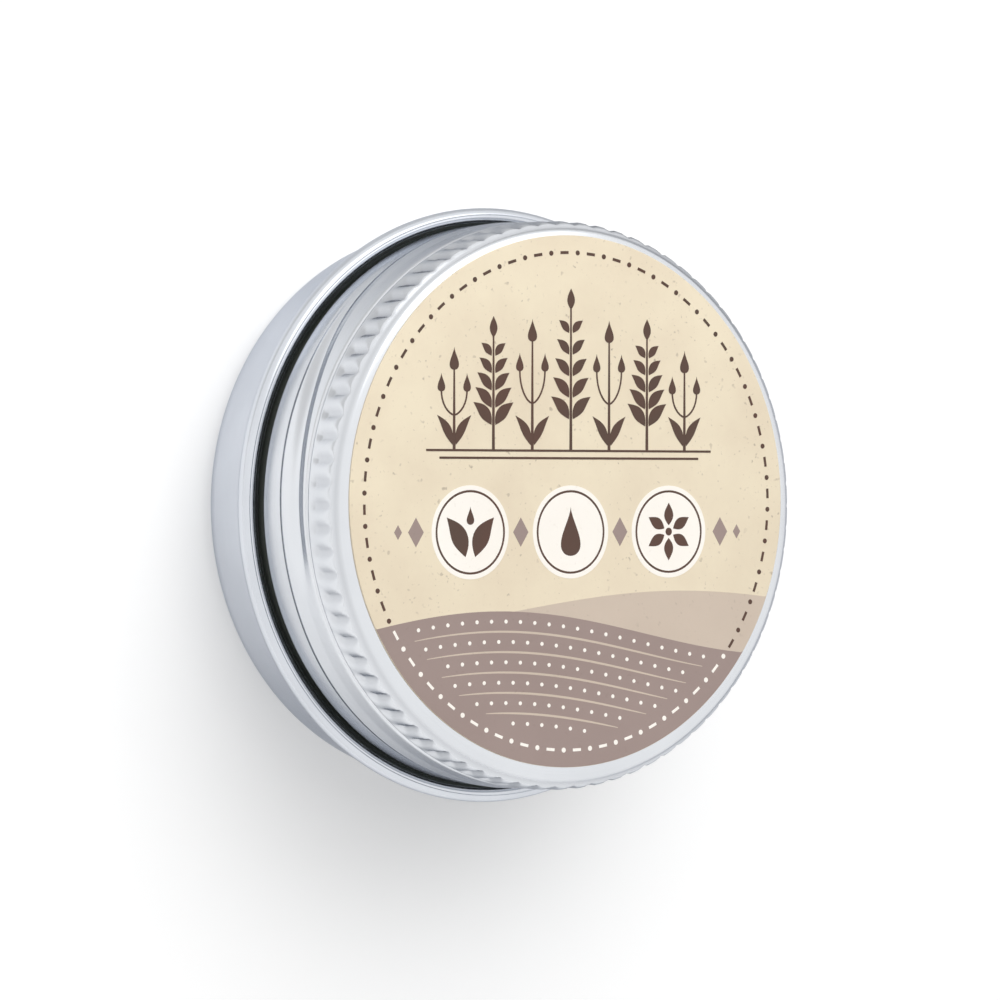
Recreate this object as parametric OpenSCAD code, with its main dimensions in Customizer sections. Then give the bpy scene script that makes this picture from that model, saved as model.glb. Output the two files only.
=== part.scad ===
// Small round tin with a screw lid: a drawn base with a rolled bead and neck, a knurled lid, a foam
// liner, a round paper label and the balm inside. The tin stands on its foot with its axis along Z.

/* [Tin] */
// Diameter across the rolled bead, the widest place
tin_d = 40; // [30:1:60]
// Height of the base from the foot to the top of the bead
body_h = 8.3; // [7:0.1:20]
// Height of the neck from the top of the bead to the lip
neck_h = 7.3; // [6.5:0.1:14]

/* [Base] */
// Thickness of the base's sheet
base_sheet_t = 0.3; // [0.2:0.01:0.4]
// Outer radius of the corner between the foot and the wall
foot_corner_r = 3; // [1.5:0.1:4]
// Lean of the wall, which narrows towards the foot, in degrees
wall_lean = 7.5; // [0:0.5:12]
// Width of the flat ring that the tin stands on
foot_ring_w = 2; // [1:0.1:4]
// Height of the bottom panel above the foot
panel_recess = 0.4; // [0.36:0.01:0.8]
// Radius of the two bends between the panel and the foot ring
panel_bend_r = 0.5; // [0.3:0.01:0.6]
// Outer radius of the bead's roll
bead_r = 0.6; // [0.5:0.01:0.8]
// Radius of the bend where the wall turns out under the bead
under_bead_bend_r = 0.3; // [0.2:0.01:0.5]
// Length of the sloping run between that bend and the bead
under_bead_run = 0.32; // [0:0.01:0.6]
// Slope of that run, in degrees
under_bead_slope = 20; // [0:1:40]
// Slope of the bead's inner side, which falls towards the neck, in degrees
bead_inner_slope = 50; // [25:1:55]
// Radius of the bend where that side turns up into the neck
neck_bend_r = 0.45; // [0.35:0.01:0.6]
// Outer radius of the lip's curl
lip_curl_r = 0.55; // [0.45:0.01:0.8]
// How far round the lip is curled, in degrees
lip_curl_a = 265; // [200:5:270]

/* [Lid] */
// Thickness of the lid's sheet
lid_sheet_t = 0.3; // [0.2:0.01:0.35]
// How far the base's bead stands out past the lid's grip band
bead_ledge = 1.15; // [0.7:0.01:2]
// Outer radius of the lid's rounded top edge
lid_edge_r = 1.25; // [0.8:0.01:1.6]
// Distance from the lid's top down to the lower end of the grip band
grip_end = 2.9; // [2.2:0.1:3.6]
// Number of flutes round the grip band
flute_count = 78; // [40:1:110]
// Radius of the round tool that a flute is pressed with
flute_r = 0.3; // [0.22:0.01:0.4]
// Depth of a flute
flute_depth = 0.2; // [0.1:0.01:0.28]
// Radius of the bends that form the narrow groove under the grip band
groove_bend_r = 0.25; // [0.18:0.01:0.35]
// Turn of each of those bends, in degrees
groove_bend_a = 45; // [20:1:60]
// How far the hem stands out past the grip band
hem_flare = 0.12; // [0.06:0.01:0.2]
// Slope of the flare above the hem, in degrees
flare_slope = 4; // [3:0.5:8]
// Radius of the soft bend at the top of the flare
flare_bend_r = 1.5; // [0.5:0.1:3]
// Outer radius of the hem's curl
hem_curl_r = 0.4; // [0.36:0.01:0.5]
// How far round the hem is curled, in degrees
hem_curl_a = 250; // [180:5:260]
// Space between the hem and the bead when the lid is closed
hem_gap = 0.4; // [0.2:0.01:1]
// Space round the neck inside the hem
neck_clearance = 0.27; // [0.1:0.01:0.5]

/* [Liner] */
// Thickness of the foam liner
liner_t = 1; // [0.5:0.1:1.6]
// Running gap between the liner and the lid round it
liner_gap = 0.05; // [0.03:0.01:0.1]
// Space between the liner and the lip when the lid is closed
seat_gap = 0.05; // [0.03:0.01:0.2]
// Space between the liner's edge and the grip band's inner ribs
liner_side_gap = 0.3; // [0.1:0.01:0.5]

/* [Label] */
// Thickness of the paper label
label_t = 0.1; // [0.05:0.01:0.2]
// Distance from the edge of the lid's flat top in to the label's edge
label_margin = 0.01; // [0:0.01:3]
// How far the label is stuck off centre
label_shift = 0.28; // [0:0.01:0.4]

/* [Balm] */
// Depth of the balm's edge below the lip
balm_depth = 2.3; // [1.8:0.1:6]
// How far the balm has sunk in the middle as it set
balm_dip = 0.3; // [0.1:0.05:0.8]
// Gap left round the balm
balm_gap = 0.05; // [0.03:0.01:0.1]

/* [Hidden] */
$fn = 180;
bend_step_a = 12;
flute_fn = 32;
slope_45 = 45;

// Heights that the pieces share
lip_z = body_h + neck_h;
liner_z = lip_z + seat_gap;
lid_under_z = liner_z + liner_t + liner_gap;
lid_top_z = lid_under_z + lid_sheet_t;
hem_z = body_h + hem_gap;
grip_z = lid_top_z - grip_end;
bead_z = body_h - bead_r;

// Radii that the pieces share
tin_r = tin_d / 2;
lid_r = tin_r - bead_ledge;
lid_flat_r = lid_r - lid_edge_r;
hem_r = lid_r + hem_flare;
neck_r = hem_r - 2 * hem_curl_r - neck_clearance;
label_r = lid_flat_r - label_margin;
base_half = base_sheet_t / 2;
lid_half = lid_sheet_t / 2;

// A sheet profile is a row of bends, joined by straight runs. A bend is [centre, radius of the
// sheet's middle, start angle, end angle], and a bend of no radius is a plain end of the sheet.
function polar(c, r, a) = [c[0] + r * cos(a), c[1] + r * sin(a)];
function turns_left(b) = b[3] >= b[2];
function bend_radius(b, offset) = turns_left(b) ? b[1] - offset : b[1] + offset;
function bend_points(b, offset) =
    let (turn = b[3] - b[2])
    let (steps = ceil(abs(turn) / bend_step_a))
    [for (i = [0 : steps])
        polar(b[0], bend_radius(b, offset), b[2] + turn * i / max(steps, 1))];
function side_points(bends, offset) = [for (b = bends) each bend_points(b, offset)];
function backwards(points) = [for (i = [len(points) - 1 : -1 : 0]) points[i]];
function sheet_outline(bends, half) =
    concat(side_points(bends, half), backwards(side_points(bends, -half)));

// The base's sheet, from the middle of the bottom panel out, up the wall, over the bead and down its
// inner side to the neck, then round the lip. The inside of the cup is on its left.
bead_c = [tin_r - bead_r, bead_z];
bead_mid_r = bead_r - base_half;
under_bead_reach = under_bead_bend_r + bead_mid_r;
under_bead_c = [
    bead_c[0] + under_bead_reach * sin(under_bead_slope) - under_bead_run * cos(under_bead_slope),
    bead_c[1] - under_bead_reach * cos(under_bead_slope) - under_bead_run * sin(under_bead_slope)
];
wall_top = polar(under_bead_c, under_bead_bend_r, 180 - wall_lean);
corner_mid_r = foot_corner_r - base_half;
wall_foot_z = foot_corner_r - corner_mid_r * sin(wall_lean);
wall_foot_r = wall_top[0] - (wall_top[1] - wall_foot_z) * tan(wall_lean);
foot_corner_c = [wall_foot_r - corner_mid_r * cos(wall_lean), foot_corner_r];
panel_drop = panel_recess - 2 * panel_bend_r * (1 - cos(slope_45));
ring_c = [foot_corner_c[0] - foot_ring_w, base_half + panel_bend_r];
panel_c = [
    ring_c[0] - 2 * panel_bend_r * sin(slope_45) - panel_drop / tan(slope_45),
    panel_recess + base_half - panel_bend_r
];
neck_mid_r = neck_r - base_half;
bead_end = polar(bead_c, bead_mid_r, 90 + bead_inner_slope);
neck_bend_x = neck_mid_r + neck_bend_r;
inner_run_r = bead_end[0] - neck_bend_x - neck_bend_r * sin(bead_inner_slope);
neck_bend_c = [
    neck_bend_x,
    bead_end[1] - inner_run_r * tan(bead_inner_slope) + neck_bend_r * cos(bead_inner_slope)
];
lip_c = [neck_r - lip_curl_r, lip_z - lip_curl_r];
cup_bends = [
    [[0, panel_recess + base_half], 0, -90, -90],
    [panel_c, panel_bend_r, 90, 90 - slope_45],
    [ring_c, panel_bend_r, 270 - slope_45, 270],
    [foot_corner_c, corner_mid_r, -90, -wall_lean],
    [under_bead_c, under_bead_bend_r, 180 - wall_lean, 90 + under_bead_slope],
    [bead_c, bead_mid_r, under_bead_slope - 90, 90 + bead_inner_slope],
    [neck_bend_c, neck_bend_r, 270 + bead_inner_slope, 180]
];
base_bends = concat(cup_bends, [[lip_c, lip_curl_r - base_half, 0, lip_curl_a]]);

// The lid's sheet, from the middle of the top out, over the edge, down past the groove and the
// flare and round the hem. The outside of the lid is on its left.
lid_mid_r = lid_r - lid_half;
groove_c = [lid_mid_r - groove_bend_r, grip_z];
groove_root_c = polar(groove_c, 2 * groove_bend_r, -groove_bend_a);
groove_foot_c = [groove_c[0], grip_z - 4 * groove_bend_r * sin(groove_bend_a)];
hem_c = [hem_r - hem_curl_r, hem_z + hem_curl_r];
hem_mid_r = hem_curl_r - lid_half;
hem_start = polar(hem_c, hem_mid_r, flare_slope);
flare_out = hem_start[0] - lid_mid_r - flare_bend_r * (1 - cos(flare_slope));
flare_c = [
    lid_mid_r + flare_bend_r,
    hem_start[1] + flare_out / tan(flare_slope) + flare_bend_r * sin(flare_slope)
];
lid_edge_c = [lid_flat_r, lid_top_z - lid_edge_r];
lid_edge_bend = [lid_edge_c, lid_edge_r - lid_half, 90, 0];
lid_bends = [
    [[0, lid_top_z - lid_half], 0, -90, -90],
    lid_edge_bend,
    [groove_c, groove_bend_r, 0, -groove_bend_a],
    [groove_root_c, groove_bend_r, 180 - groove_bend_a, 180 + groove_bend_a],
    [groove_foot_c, groove_bend_r, groove_bend_a, 0],
    [flare_c, flare_bend_r, 180, 180 + flare_slope],
    [hem_c, hem_mid_r, flare_slope, -hem_curl_a]
];

// The flutes of the grip band: each is pressed in from outside and shows inside as a rib
flute_axis_r = lid_r - flute_depth + flute_r;
rib_r = flute_r + lid_sheet_t;
rib_reach_r = flute_axis_r - rib_r;
flute_top_z = lid_top_z + flute_r;

// The liner follows the lid's rounded inner edge
liner_r = rib_reach_r - liner_side_gap;
liner_edge_r = lid_edge_r - lid_sheet_t - liner_gap;
liner_edge_a = acos((liner_r - lid_edge_c[0]) / liner_edge_r);

// The balm's surface is an arc through its edge and its sunken middle
balm_r = neck_r - base_sheet_t - balm_gap;
balm_edge_z = lip_z - balm_depth;
balm_arc_r = (balm_r * balm_r + balm_dip * balm_dip) / (2 * balm_dip);
balm_arc_a = asin(balm_r / balm_arc_r);
balm_arc_c = [0, balm_edge_z - balm_dip + balm_arc_r];

module revolved(points) {
    rotate_extrude()
        polygon(points);
}

// A round tool with a pointed lower end, standing on the flutes' circle. The point of a wider tool
// starts lower, so that the sheet between the two tools keeps its thickness.
module flute_tool(r) {
    point_z = grip_z - (r - flute_r) / cos(slope_45);
    translate([flute_axis_r, 0, 0])
        rotate_extrude($fn = flute_fn)
            polygon([[0, point_z], [r, point_z + r], [r, flute_top_z], [0, flute_top_z]]);
}

module round_the_lid() {
    for (i = [0 : flute_count - 1])
        rotate([0, 0, i * 360 / flute_count])
            children();
}

// The room inside the middle of the sheet, behind the lid's edge and grip band, which the ribs are
// trimmed to
module rib_room() {
    revolved(concat(
        bend_points(lid_edge_bend, 0),
        [[lid_mid_r, grip_z], [lid_flat_r, grip_z]]
    ));
}

module base_tin() {
    color([0.80, 0.81, 0.85])
        revolved(sheet_outline(base_bends, base_half));
}

module lid_shell() {
    color([0.84, 0.85, 0.89])
        difference() {
            union() {
                revolved(sheet_outline(lid_bends, lid_half));
                intersection() {
                    rib_room();
                    round_the_lid() flute_tool(rib_r);
                }
            }
            round_the_lid() flute_tool(flute_r);
        }
}

module lid_liner() {
    color([0.95, 0.95, 0.93])
        revolved(concat(
            [[0, liner_z], [liner_r, liner_z]],
            bend_points([lid_edge_c, liner_edge_r, liner_edge_a, 90], 0),
            [[0, liner_z + liner_t]]
        ));
}

module lid_label() {
    color([0.92, 0.87, 0.77])
        translate([0, label_shift, lid_top_z])
            cylinder(r = label_r, h = label_t);
}

module sunscreen_balm() {
    color([0.78, 0.62, 0.50])
        revolved(concat(
            side_points(cup_bends, base_half + balm_gap),
            bend_points([balm_arc_c, balm_arc_r, balm_arc_a - 90, -90], 0)
        ));
}

base_tin();
lid_shell();
lid_liner();
lid_label();
sunscreen_balm();
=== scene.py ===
"""A small round aluminium tin of balm with a screw lid, in a plain studio.

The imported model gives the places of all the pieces. Base, lid, liner, label and balm are made again
here with what is too fine for the solids: rolled thread, pressed flutes, printed shapes and the finish
of each surface. Lengths are in millimetres until a mesh is filled.
"""

import bmesh
import bpy
import numpy as np
from mathutils import Matrix, Vector


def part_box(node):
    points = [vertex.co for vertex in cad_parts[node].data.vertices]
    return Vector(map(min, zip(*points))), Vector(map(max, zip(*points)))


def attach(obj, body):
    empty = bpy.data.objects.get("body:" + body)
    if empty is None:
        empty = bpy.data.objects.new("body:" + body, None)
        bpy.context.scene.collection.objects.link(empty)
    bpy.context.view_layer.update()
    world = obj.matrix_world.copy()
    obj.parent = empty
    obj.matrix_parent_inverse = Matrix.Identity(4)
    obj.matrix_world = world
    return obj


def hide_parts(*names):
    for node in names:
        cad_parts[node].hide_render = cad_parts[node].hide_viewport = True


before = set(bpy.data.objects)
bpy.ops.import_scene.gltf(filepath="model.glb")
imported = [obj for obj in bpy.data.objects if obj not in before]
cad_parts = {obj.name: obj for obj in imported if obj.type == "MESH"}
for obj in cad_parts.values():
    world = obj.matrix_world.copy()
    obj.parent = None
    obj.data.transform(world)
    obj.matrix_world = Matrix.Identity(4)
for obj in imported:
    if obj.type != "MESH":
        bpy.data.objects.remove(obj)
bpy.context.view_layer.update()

MM = 0.001
SMOOTH_BELOW = 40.0

# The viewpoint: the line of sight makes LOOK_TURN degrees with the tin's axis and LOOK_TILT with its
# level plane, and the picture's upright is the label's. The camera's place is measured from the
# middle of the label's face.
LOOK_TURN = 35.237
LOOK_TILT = 0.166
CAMERA_LEFT = 232.7
CAMERA_UP = 1.3
CAMERA_OUT = 321.4
LENS = 216.0
SENSOR = 36.0

# Sheets
BASE_SHEET = 0.3
LID_SHEET = 0.3

# Base: foot, wall, bead, neck and lip. The bead has more points between its two fine angles. The crevice
# is the valley between bead and neck, where its shade is painted into the metal's colour.
FOOT_CORNER = 3.0
WALL_LEAN = 7.5
FOOT_RING = 2.0
PANEL_RECESS = 0.4
PANEL_BEND = 0.5
BEAD = 0.6
BODY_HEIGHT = 8.3
UNDER_BEAD_BEND = 0.3
UNDER_BEAD_RUN = 0.32
UNDER_BEAD_SLOPE = 20.0
BEAD_INNER_SLOPE = 50.0
BEAD_FINE = (66.0, 94.0)
NECK_BEND = 0.45
LIP_CURL = 0.55
LIP_TURN = 265.0
NECK_ROOM = 0.27
BEAD_CREASE = 0.04
BEAD_CREASE_WIDTH = 0.07
BEAD_CREASE_IN = 0.5
# Crevice: where its painted shade reaches and fades, its ragged top, its floor, the shade's colour and the
# metal's roughness there
CREVICE_R = 18.9
CREVICE_FADE = 0.5
CREVICE_TOP = 8.6
CREVICE_TOP_FADE = 0.3
CREVICE_RAGGED = 0.4
CREVICE_FLOOR = (7.0, 7.2)
CREVICE_SHADE_TONE = (0.15, 0.165, 0.15, 1)
CREVICE_ROUGHNESS = 0.7

# Lid: edge, grip band, groove, flare and hem. The edge has more points between its two fine angles.
BEAD_LEDGE = 1.15
LID_EDGE = 1.25
EDGE_FINE = (68.0, 28.0)
GRIP_END = 2.75
GROOVE_BEND = 0.25
GROOVE_TURN = 45.0
HEM_FLARE = 0.12
FLARE_SLOPE = 4.0
FLARE_BEND = 1.5
HEM_CURL = 0.4
HEM_TURN = 250.0
FLUTES = 78
FLUTE_WIDTH = 0.64
FLUTE_DEPTH = 0.26
FLUTE_FADE = 0.5
# Painted shade in flutes and crease: its largest share, how fast it grows with depth, and its colour
HOLLOW_SHADE = 0.26
HOLLOW_SPREAD = 1.6
HOLLOW_SHADE_TONE = (0.35, 0.36, 0.39, 1)
EDGE_CREASE = 0.11
EDGE_CREASE_WIDTH = 0.27
EDGE_CREASE_TURN = 45.0

# Rolled thread. On the lid its drop below the lid's top is set at a few turns round the tin, in degrees
# clockwise from the left of the label. It starts as a wide valley with a straight upper side, and narrows
# between two turns into a small ledge whose upper side slopes back to the skirt. On the neck it is a
# ridge: it starts at a height, rises by its lead for each turn, and fades over a share of a turn.
THREAD_TURNS = (-26, -20, 10, 25, 38, 47, 60, 180, 320, 342, 360, 372, 388, 412, 420)
THREAD_DROPS = (3.85, 3.9, 4.25, 4.8, 5.6, 5.95, 6.1, 6.15, 6.2, 5.92, 6.0, 6.16, 6.25, 6.7, 6.75)
THREAD_SOFTNESS = 8.0
THREAD_FADE = 14.0
VALLEY_BED = -0.15
VALLEY_DEPTH = 0.235
VALLEY_UPPER = 0.85
VALLEY_LOWER = 1.1
LEDGE_OUT = 0.095
LEDGE_STEP = 0.36
LEDGE_SLOPE = 1.4
NARROWING = (20.0, 70.0)
NECK_RIDGE = 0.2
NECK_RIDGE_WIDTH = 0.45
NECK_RIDGE_START = 10.7
NECK_RIDGE_LEAD = 2.5
NECK_RIDGE_TURNS = 1.25
NECK_RIDGE_FADE = 0.06

# Label: paper, and inks that lie on it in thin layers, so that shapes which overlap never share a height
INK = 0.003
INK_LAYERS = 8
FAR_HILL, NEAR_HILL, FURROWS, DISCS, RINGS, BRANCHES, LEAVES, BUDS = range(1, INK_LAYERS + 1)
INK_ROOT = 0.01
PRINT_MARGIN = 0.02
PAPER_ROUND = 0.02

# Printed shapes, in shares of the label's radius
SMALL_DISC = 0.03
HAIRLINE = 0.0042
BORDER_R = 0.935
BORDER_COUNT = 96
BORDER_BEAD = 0.0095
BORDER_BAR = 1.15
BORDER_LINE = 0.0055
FURROW_STEP = 0.076
SEED_STEP = 0.066
SEED = 0.0075
SIGN_HEIGHT = -0.115
SIGN_STEP = 0.46
SIGN_DISC = 0.175
SIGNS = [np.array([side * SIGN_STEP, SIGN_HEIGHT]) for side in (-1, 0, 1)]
STEM_FOOT = 0.19
STEM_STEP = 0.178
STEM_TAPER = (0.0065, 0.0035)
STEM_HEIGHTS = (0.31, 0.43, 0.42, 0.54, 0.42, 0.43, 0.31)

# Liner: its rounded lower edge, the height of its wall, and the ring that the lip presses in
LINER_ROUND = 0.06
LINER_WALL = 0.3
LIP_MARK = 0.09
LIP_MARK_WIDTH = 0.4

# Balm: the gap round it, its sunken middle, its rounded rim, and its ripples' height and turn for each
# millimetre from the middle
BALM_GAP = 0.05
BALM_DIP = 0.3
BALM_RIM = 0.12
BALM_RIPPLE = 0.025
BALM_RIPPLE_TURN = 1.9

# Light: the sky that lights the tin has a soft window in it, and rises towards the label's left. The floor
# glows a little where it is seen. Where metal mirrors it, the glow fades out towards the label's top.
SKY = 0.34
SKY_LEAST = 0.05
SKY_TO_LEFT = 0.3
WINDOW = (0.02, 0.62, 0.78)
WINDOW_LIGHT = 2.8
WINDOW_EDGE = 0.7
FLOOR_GLOW = 0.32
GLOW_NEAR = 14.0
GLOW_FAR = 28.0
FLOOR_TONE = (0.72, 0.72, 0.72, 1)
FLOOR_REACH = 3.0
LAMP_PLACE = (0.10, 0.38, 0.48)
LAMP_SIZE = (0.60, 0.45)
LAMP_LIGHT = 0.7


def node_box(node):
    """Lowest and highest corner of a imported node, in millimetres."""
    low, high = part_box(node)
    return np.array(low) / MM, np.array(high) / MM


base_high = node_box("base_tin")[1]
lid_low, lid_high = node_box("lid_shell")
liner_low, liner_high = node_box("lid_liner")
label_low, label_high = node_box("lid_label")
balm_top = node_box("sunscreen_balm")[1][2]

tin_r = base_high[0]
lip_z = base_high[2]
lid_top = lid_high[2]
hem_z = lid_low[2]
lid_r = tin_r - BEAD_LEDGE
flat_r = lid_r - LID_EDGE
hem_r = lid_r + HEM_FLARE
neck_r = hem_r - 2 * HEM_CURL - NECK_ROOM
label_r = (label_high[0] - label_low[0]) / 2
label_middle = (label_low + label_high) / 2
paper_top = label_high[2] - INK * INK_LAYERS
print_r = 1 - PRINT_MARGIN / label_r


def polar(centre, radius, turn):
    """The point at a turn in degrees on a circle round centre."""
    a = np.radians(turn)
    return np.array([centre[0] + radius * np.cos(a), centre[1] + radius * np.sin(a)])


def bend(centre, radius, start, end, steps):
    """Arc of a circle: centre plus radius times (cos a, sin a), for even steps of a from start to end."""
    a = np.radians(np.linspace(start, end, steps + 1))
    return np.column_stack([centre[0] + radius * np.cos(a), centre[1] + radius * np.sin(a)])


def straight(start, end, steps):
    """Even points on the line from start to end, both ends included."""
    share = np.linspace(0, 1, steps + 1)[:, None]
    return np.asarray(start) * (1 - share) + np.asarray(end) * share


def joined(stretches):
    """One path from several, without the points that repeat where two of them meet."""
    path = np.vstack(stretches)
    step = np.linalg.norm(np.diff(path, axis=0), axis=1)
    return path[np.concatenate([[True], step > 1e-6])]


def left_of(path):
    """Unit normals on the left of a path: the direction from neighbour to neighbour, turned by 90 degrees."""
    along = np.gradient(path, axis=0)
    along[0] = path[1] - path[0]
    along[-1] = path[-1] - path[-2]
    along /= np.linalg.norm(along, axis=1)[:, None]
    return np.column_stack([-along[:, 1], along[:, 0]])


def eased(share):
    """A smooth step: 0 below 0, 1 above 1, and 3 s^2 - 2 s^3 between."""
    s = np.clip(share, 0, 1)
    return s * s * (3 - 2 * s)


def hump(offset, half_width):
    """A smooth rise of height 1: the squared cosine of offset, 0 outside half_width."""
    return np.cos(np.clip(offset / half_width, -1, 1) * np.pi / 2) ** 2


def new_object(name, data):
    """An object in the scene with its data."""
    thing = bpy.data.objects.new(name, data)
    bpy.context.scene.collection.objects.link(thing)
    return thing


def place_mesh(name, points, faces, material, body, node=None):
    """Fills a mesh from points in millimetres and faces, and puts it on its body."""
    mesh = bpy.data.meshes.new(name)
    mesh.from_pydata((points * MM).tolist(), [], faces)
    mesh.polygons.foreach_set("use_smooth", np.ones(len(mesh.polygons), bool))
    mesh.set_sharp_from_angle(angle=np.radians(SMOOTH_BELOW))
    mesh.materials.append(material)
    piece = new_object(name, mesh)
    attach(piece, body)
    if node:
        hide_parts(node)
    return piece


def ring_quads(ring):
    """Quads between neighbouring rings of a grid of point numbers, closed round the axis."""
    after = np.roll(ring, -1, axis=1)
    return np.stack([ring[:-1], ring[1:], after[1:], after[:-1]], axis=-1).reshape(-1, 4).tolist()


def turned_faces(fine, coarse):
    """Faces of a closed turned surface from two grids of rings, with a fan to the point at each end.

    The coarse rings have every second point of the fine ones, so five-cornered faces join the grids.
    """
    faces = ring_quads(fine) + ring_quads(coarse)
    if len(coarse):
        left, low = fine[-1, ::2], coarse[0]
        faces += np.column_stack([left, low, np.roll(low, -1), np.roll(left, -1), fine[-1, 1::2]]).tolist()
    first, last = fine[0], (coarse if len(coarse) else fine)[-1]
    pole = fine.size + coarse.size
    start = np.column_stack([np.full(len(first), pole), first, np.roll(first, -1)])
    end = np.column_stack([np.full(len(last), pole + 1), np.roll(last, -1), last])
    return faces + start.tolist() + end.tolist()


def turned(name, radius, height, angles, material, body, node, centre=(0, 0), fine_rows=None,
           hollow=None):
    """A closed turned surface: row i at angle a is (radius cos a, radius sin a, height).

    The first and the last row lie on the axis and become one point each. The outline's signed area
    tells which way it runs, and the rows are turned round where the faces would point inwards. Rows
    after the first fine_rows keep every second angle. With hollow, its value for each point is kept on
    the mesh under that name.
    """
    radius = np.broadcast_to(radius, (len(radius), len(angles)))
    height = np.broadcast_to(height, (len(height), len(angles)))
    r, z = radius[:, 0], height[:, 0]
    if np.sum(r[:-1] * z[1:] - r[1:] * z[:-1]) > 0:
        radius, height = radius[::-1], height[::-1]
        hollow = None if hollow is None else hollow[::-1]
    x = centre[0] + radius[1:-1] * np.cos(angles)
    y = centre[1] + radius[1:-1] * np.sin(angles)
    rings = np.stack([x, y, height[1:-1]], axis=-1)
    split = len(rings) if fine_rows is None else fine_rows - 1
    fine = np.arange(split * len(angles)).reshape(split, -1)
    coarse = fine.size + np.arange((len(rings) - split) * (len(angles) // 2)).reshape(-1, len(angles) // 2)
    ends = [[centre[0], centre[1], height[0, 0]], [centre[0], centre[1], height[-1, 0]]]
    points = np.vstack([rings[:split].reshape(-1, 3), rings[split:, ::2].reshape(-1, 3), ends])
    piece = place_mesh(name, points, turned_faces(fine, coarse), material, body, node)
    if hollow is not None:
        share = np.concatenate([hollow[1:-1][:split].ravel(), hollow[1:-1][split:, ::2].ravel(), [0, 0]])
        piece.data.attributes.new("hollow", "FLOAT", "POINT").data.foreach_set("value", share)
    return piece


def thread_drop(turn):
    """Drop of the thread below the lid's top: its set drops joined by lines, averaged over a few degrees."""
    nearby = np.linspace(-THREAD_SOFTNESS, THREAD_SOFTNESS, 9)
    return np.mean([np.interp(turn + step, THREAD_TURNS, THREAD_DROPS) for step in nearby], axis=0)


def thread_relief(angles, height):
    """How far the lid's thread is pressed in, summed over its two laps. It is below zero where it stands out.

    The valley's lower side is a squared cosine and its upper side is straight. The ledge rises and falls
    off in straight lines.
    """
    pressed = 0
    for lap in (0, 360):
        turn = (180 - np.degrees(angles) + 180) % 360 - 180 + lap
        begun = eased((turn - THREAD_TURNS[1]) / THREAD_FADE)
        ended = eased((THREAD_TURNS[-2] - turn) / THREAD_FADE)
        above = height - (lid_top - thread_drop(turn))
        from_bed = above - VALLEY_BED
        upper = np.clip(1 - from_bed / VALLEY_UPPER, 0, 1)
        valley = VALLEY_DEPTH * np.where(from_bed > 0, upper, hump(from_bed, VALLEY_LOWER))
        ledge = np.clip(above / LEDGE_STEP + 0.5, 0, 1) * np.clip(1 - above / LEDGE_SLOPE, 0, 1)
        narrow = eased((turn - NARROWING[0]) / (NARROWING[1] - NARROWING[0]))
        pressed = pressed + begun * ended * (valley * (1 - narrow) - LEDGE_OUT * ledge * narrow)
    return pressed


def flute_press(angles, radius, height):
    """How far the flutes are pressed in: each is an upright trough, a squared cosine across it.

    The trough's bed is the lid's radius less its depth. It fades in above the grip band's lower end,
    and ends where the lid's rounded edge falls back behind the bed.
    """
    pitch = 2 * np.pi / FLUTES
    across = ((angles + pitch / 2) % pitch - pitch / 2) * lid_r
    fade = np.clip((height - (lid_top - GRIP_END)) / FLUTE_FADE, 0, 1)
    bed = lid_r - FLUTE_DEPTH * fade * hump(across, FLUTE_WIDTH)
    return np.maximum(radius - bed, 0)


def lid_path():
    """Middle line of the lid's sheet: straight lines and arcs from the top's middle to the hem's curl."""
    half = LID_SHEET / 2
    middle_r = lid_r - half
    grip_z = lid_top - GRIP_END
    groove = [middle_r - GROOVE_BEND, grip_z]
    root = polar(groove, 2 * GROOVE_BEND, -GROOVE_TURN)
    below = [groove[0], grip_z - 4 * GROOVE_BEND * np.sin(np.radians(GROOVE_TURN))]
    hem = [hem_r - HEM_CURL, hem_z + HEM_CURL]
    slope = np.radians(FLARE_SLOPE)
    hem_start = polar(hem, HEM_CURL - half, FLARE_SLOPE)
    out = hem_start[0] - middle_r - FLARE_BEND * (1 - np.cos(slope))
    flare = [middle_r + FLARE_BEND, hem_start[1] + out / np.tan(slope) + FLARE_BEND * np.sin(slope)]
    edge = [flat_r, lid_top - LID_EDGE]
    return joined([
        straight([0, lid_top - half], [flat_r, lid_top - half], 2),
        bend(edge, LID_EDGE - half, 90, EDGE_FINE[0], 3),
        bend(edge, LID_EDGE - half, *EDGE_FINE, 17),
        bend(edge, LID_EDGE - half, EDGE_FINE[1], 0, 7),
        straight([middle_r, edge[1]], [middle_r, grip_z + FLUTE_FADE], 4),
        straight([middle_r, grip_z + FLUTE_FADE], [middle_r, grip_z], 7),
        bend(groove, GROOVE_BEND, 0, -GROOVE_TURN, 4),
        bend(root, GROOVE_BEND, 180 - GROOVE_TURN, 180 + GROOVE_TURN, 8),
        bend(below, GROOVE_BEND, GROOVE_TURN, 0, 4),
        straight([middle_r, below[1]], [middle_r, flare[1]], 56),
        bend(flare, FLARE_BEND, 180, 180 + FLARE_SLOPE, 3),
        straight(polar(flare, FLARE_BEND, 180 + FLARE_SLOPE), hem_start, 24),
        bend(hem, HEM_CURL - half, FLARE_SLOPE, -HEM_TURN, 18),
    ])


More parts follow.
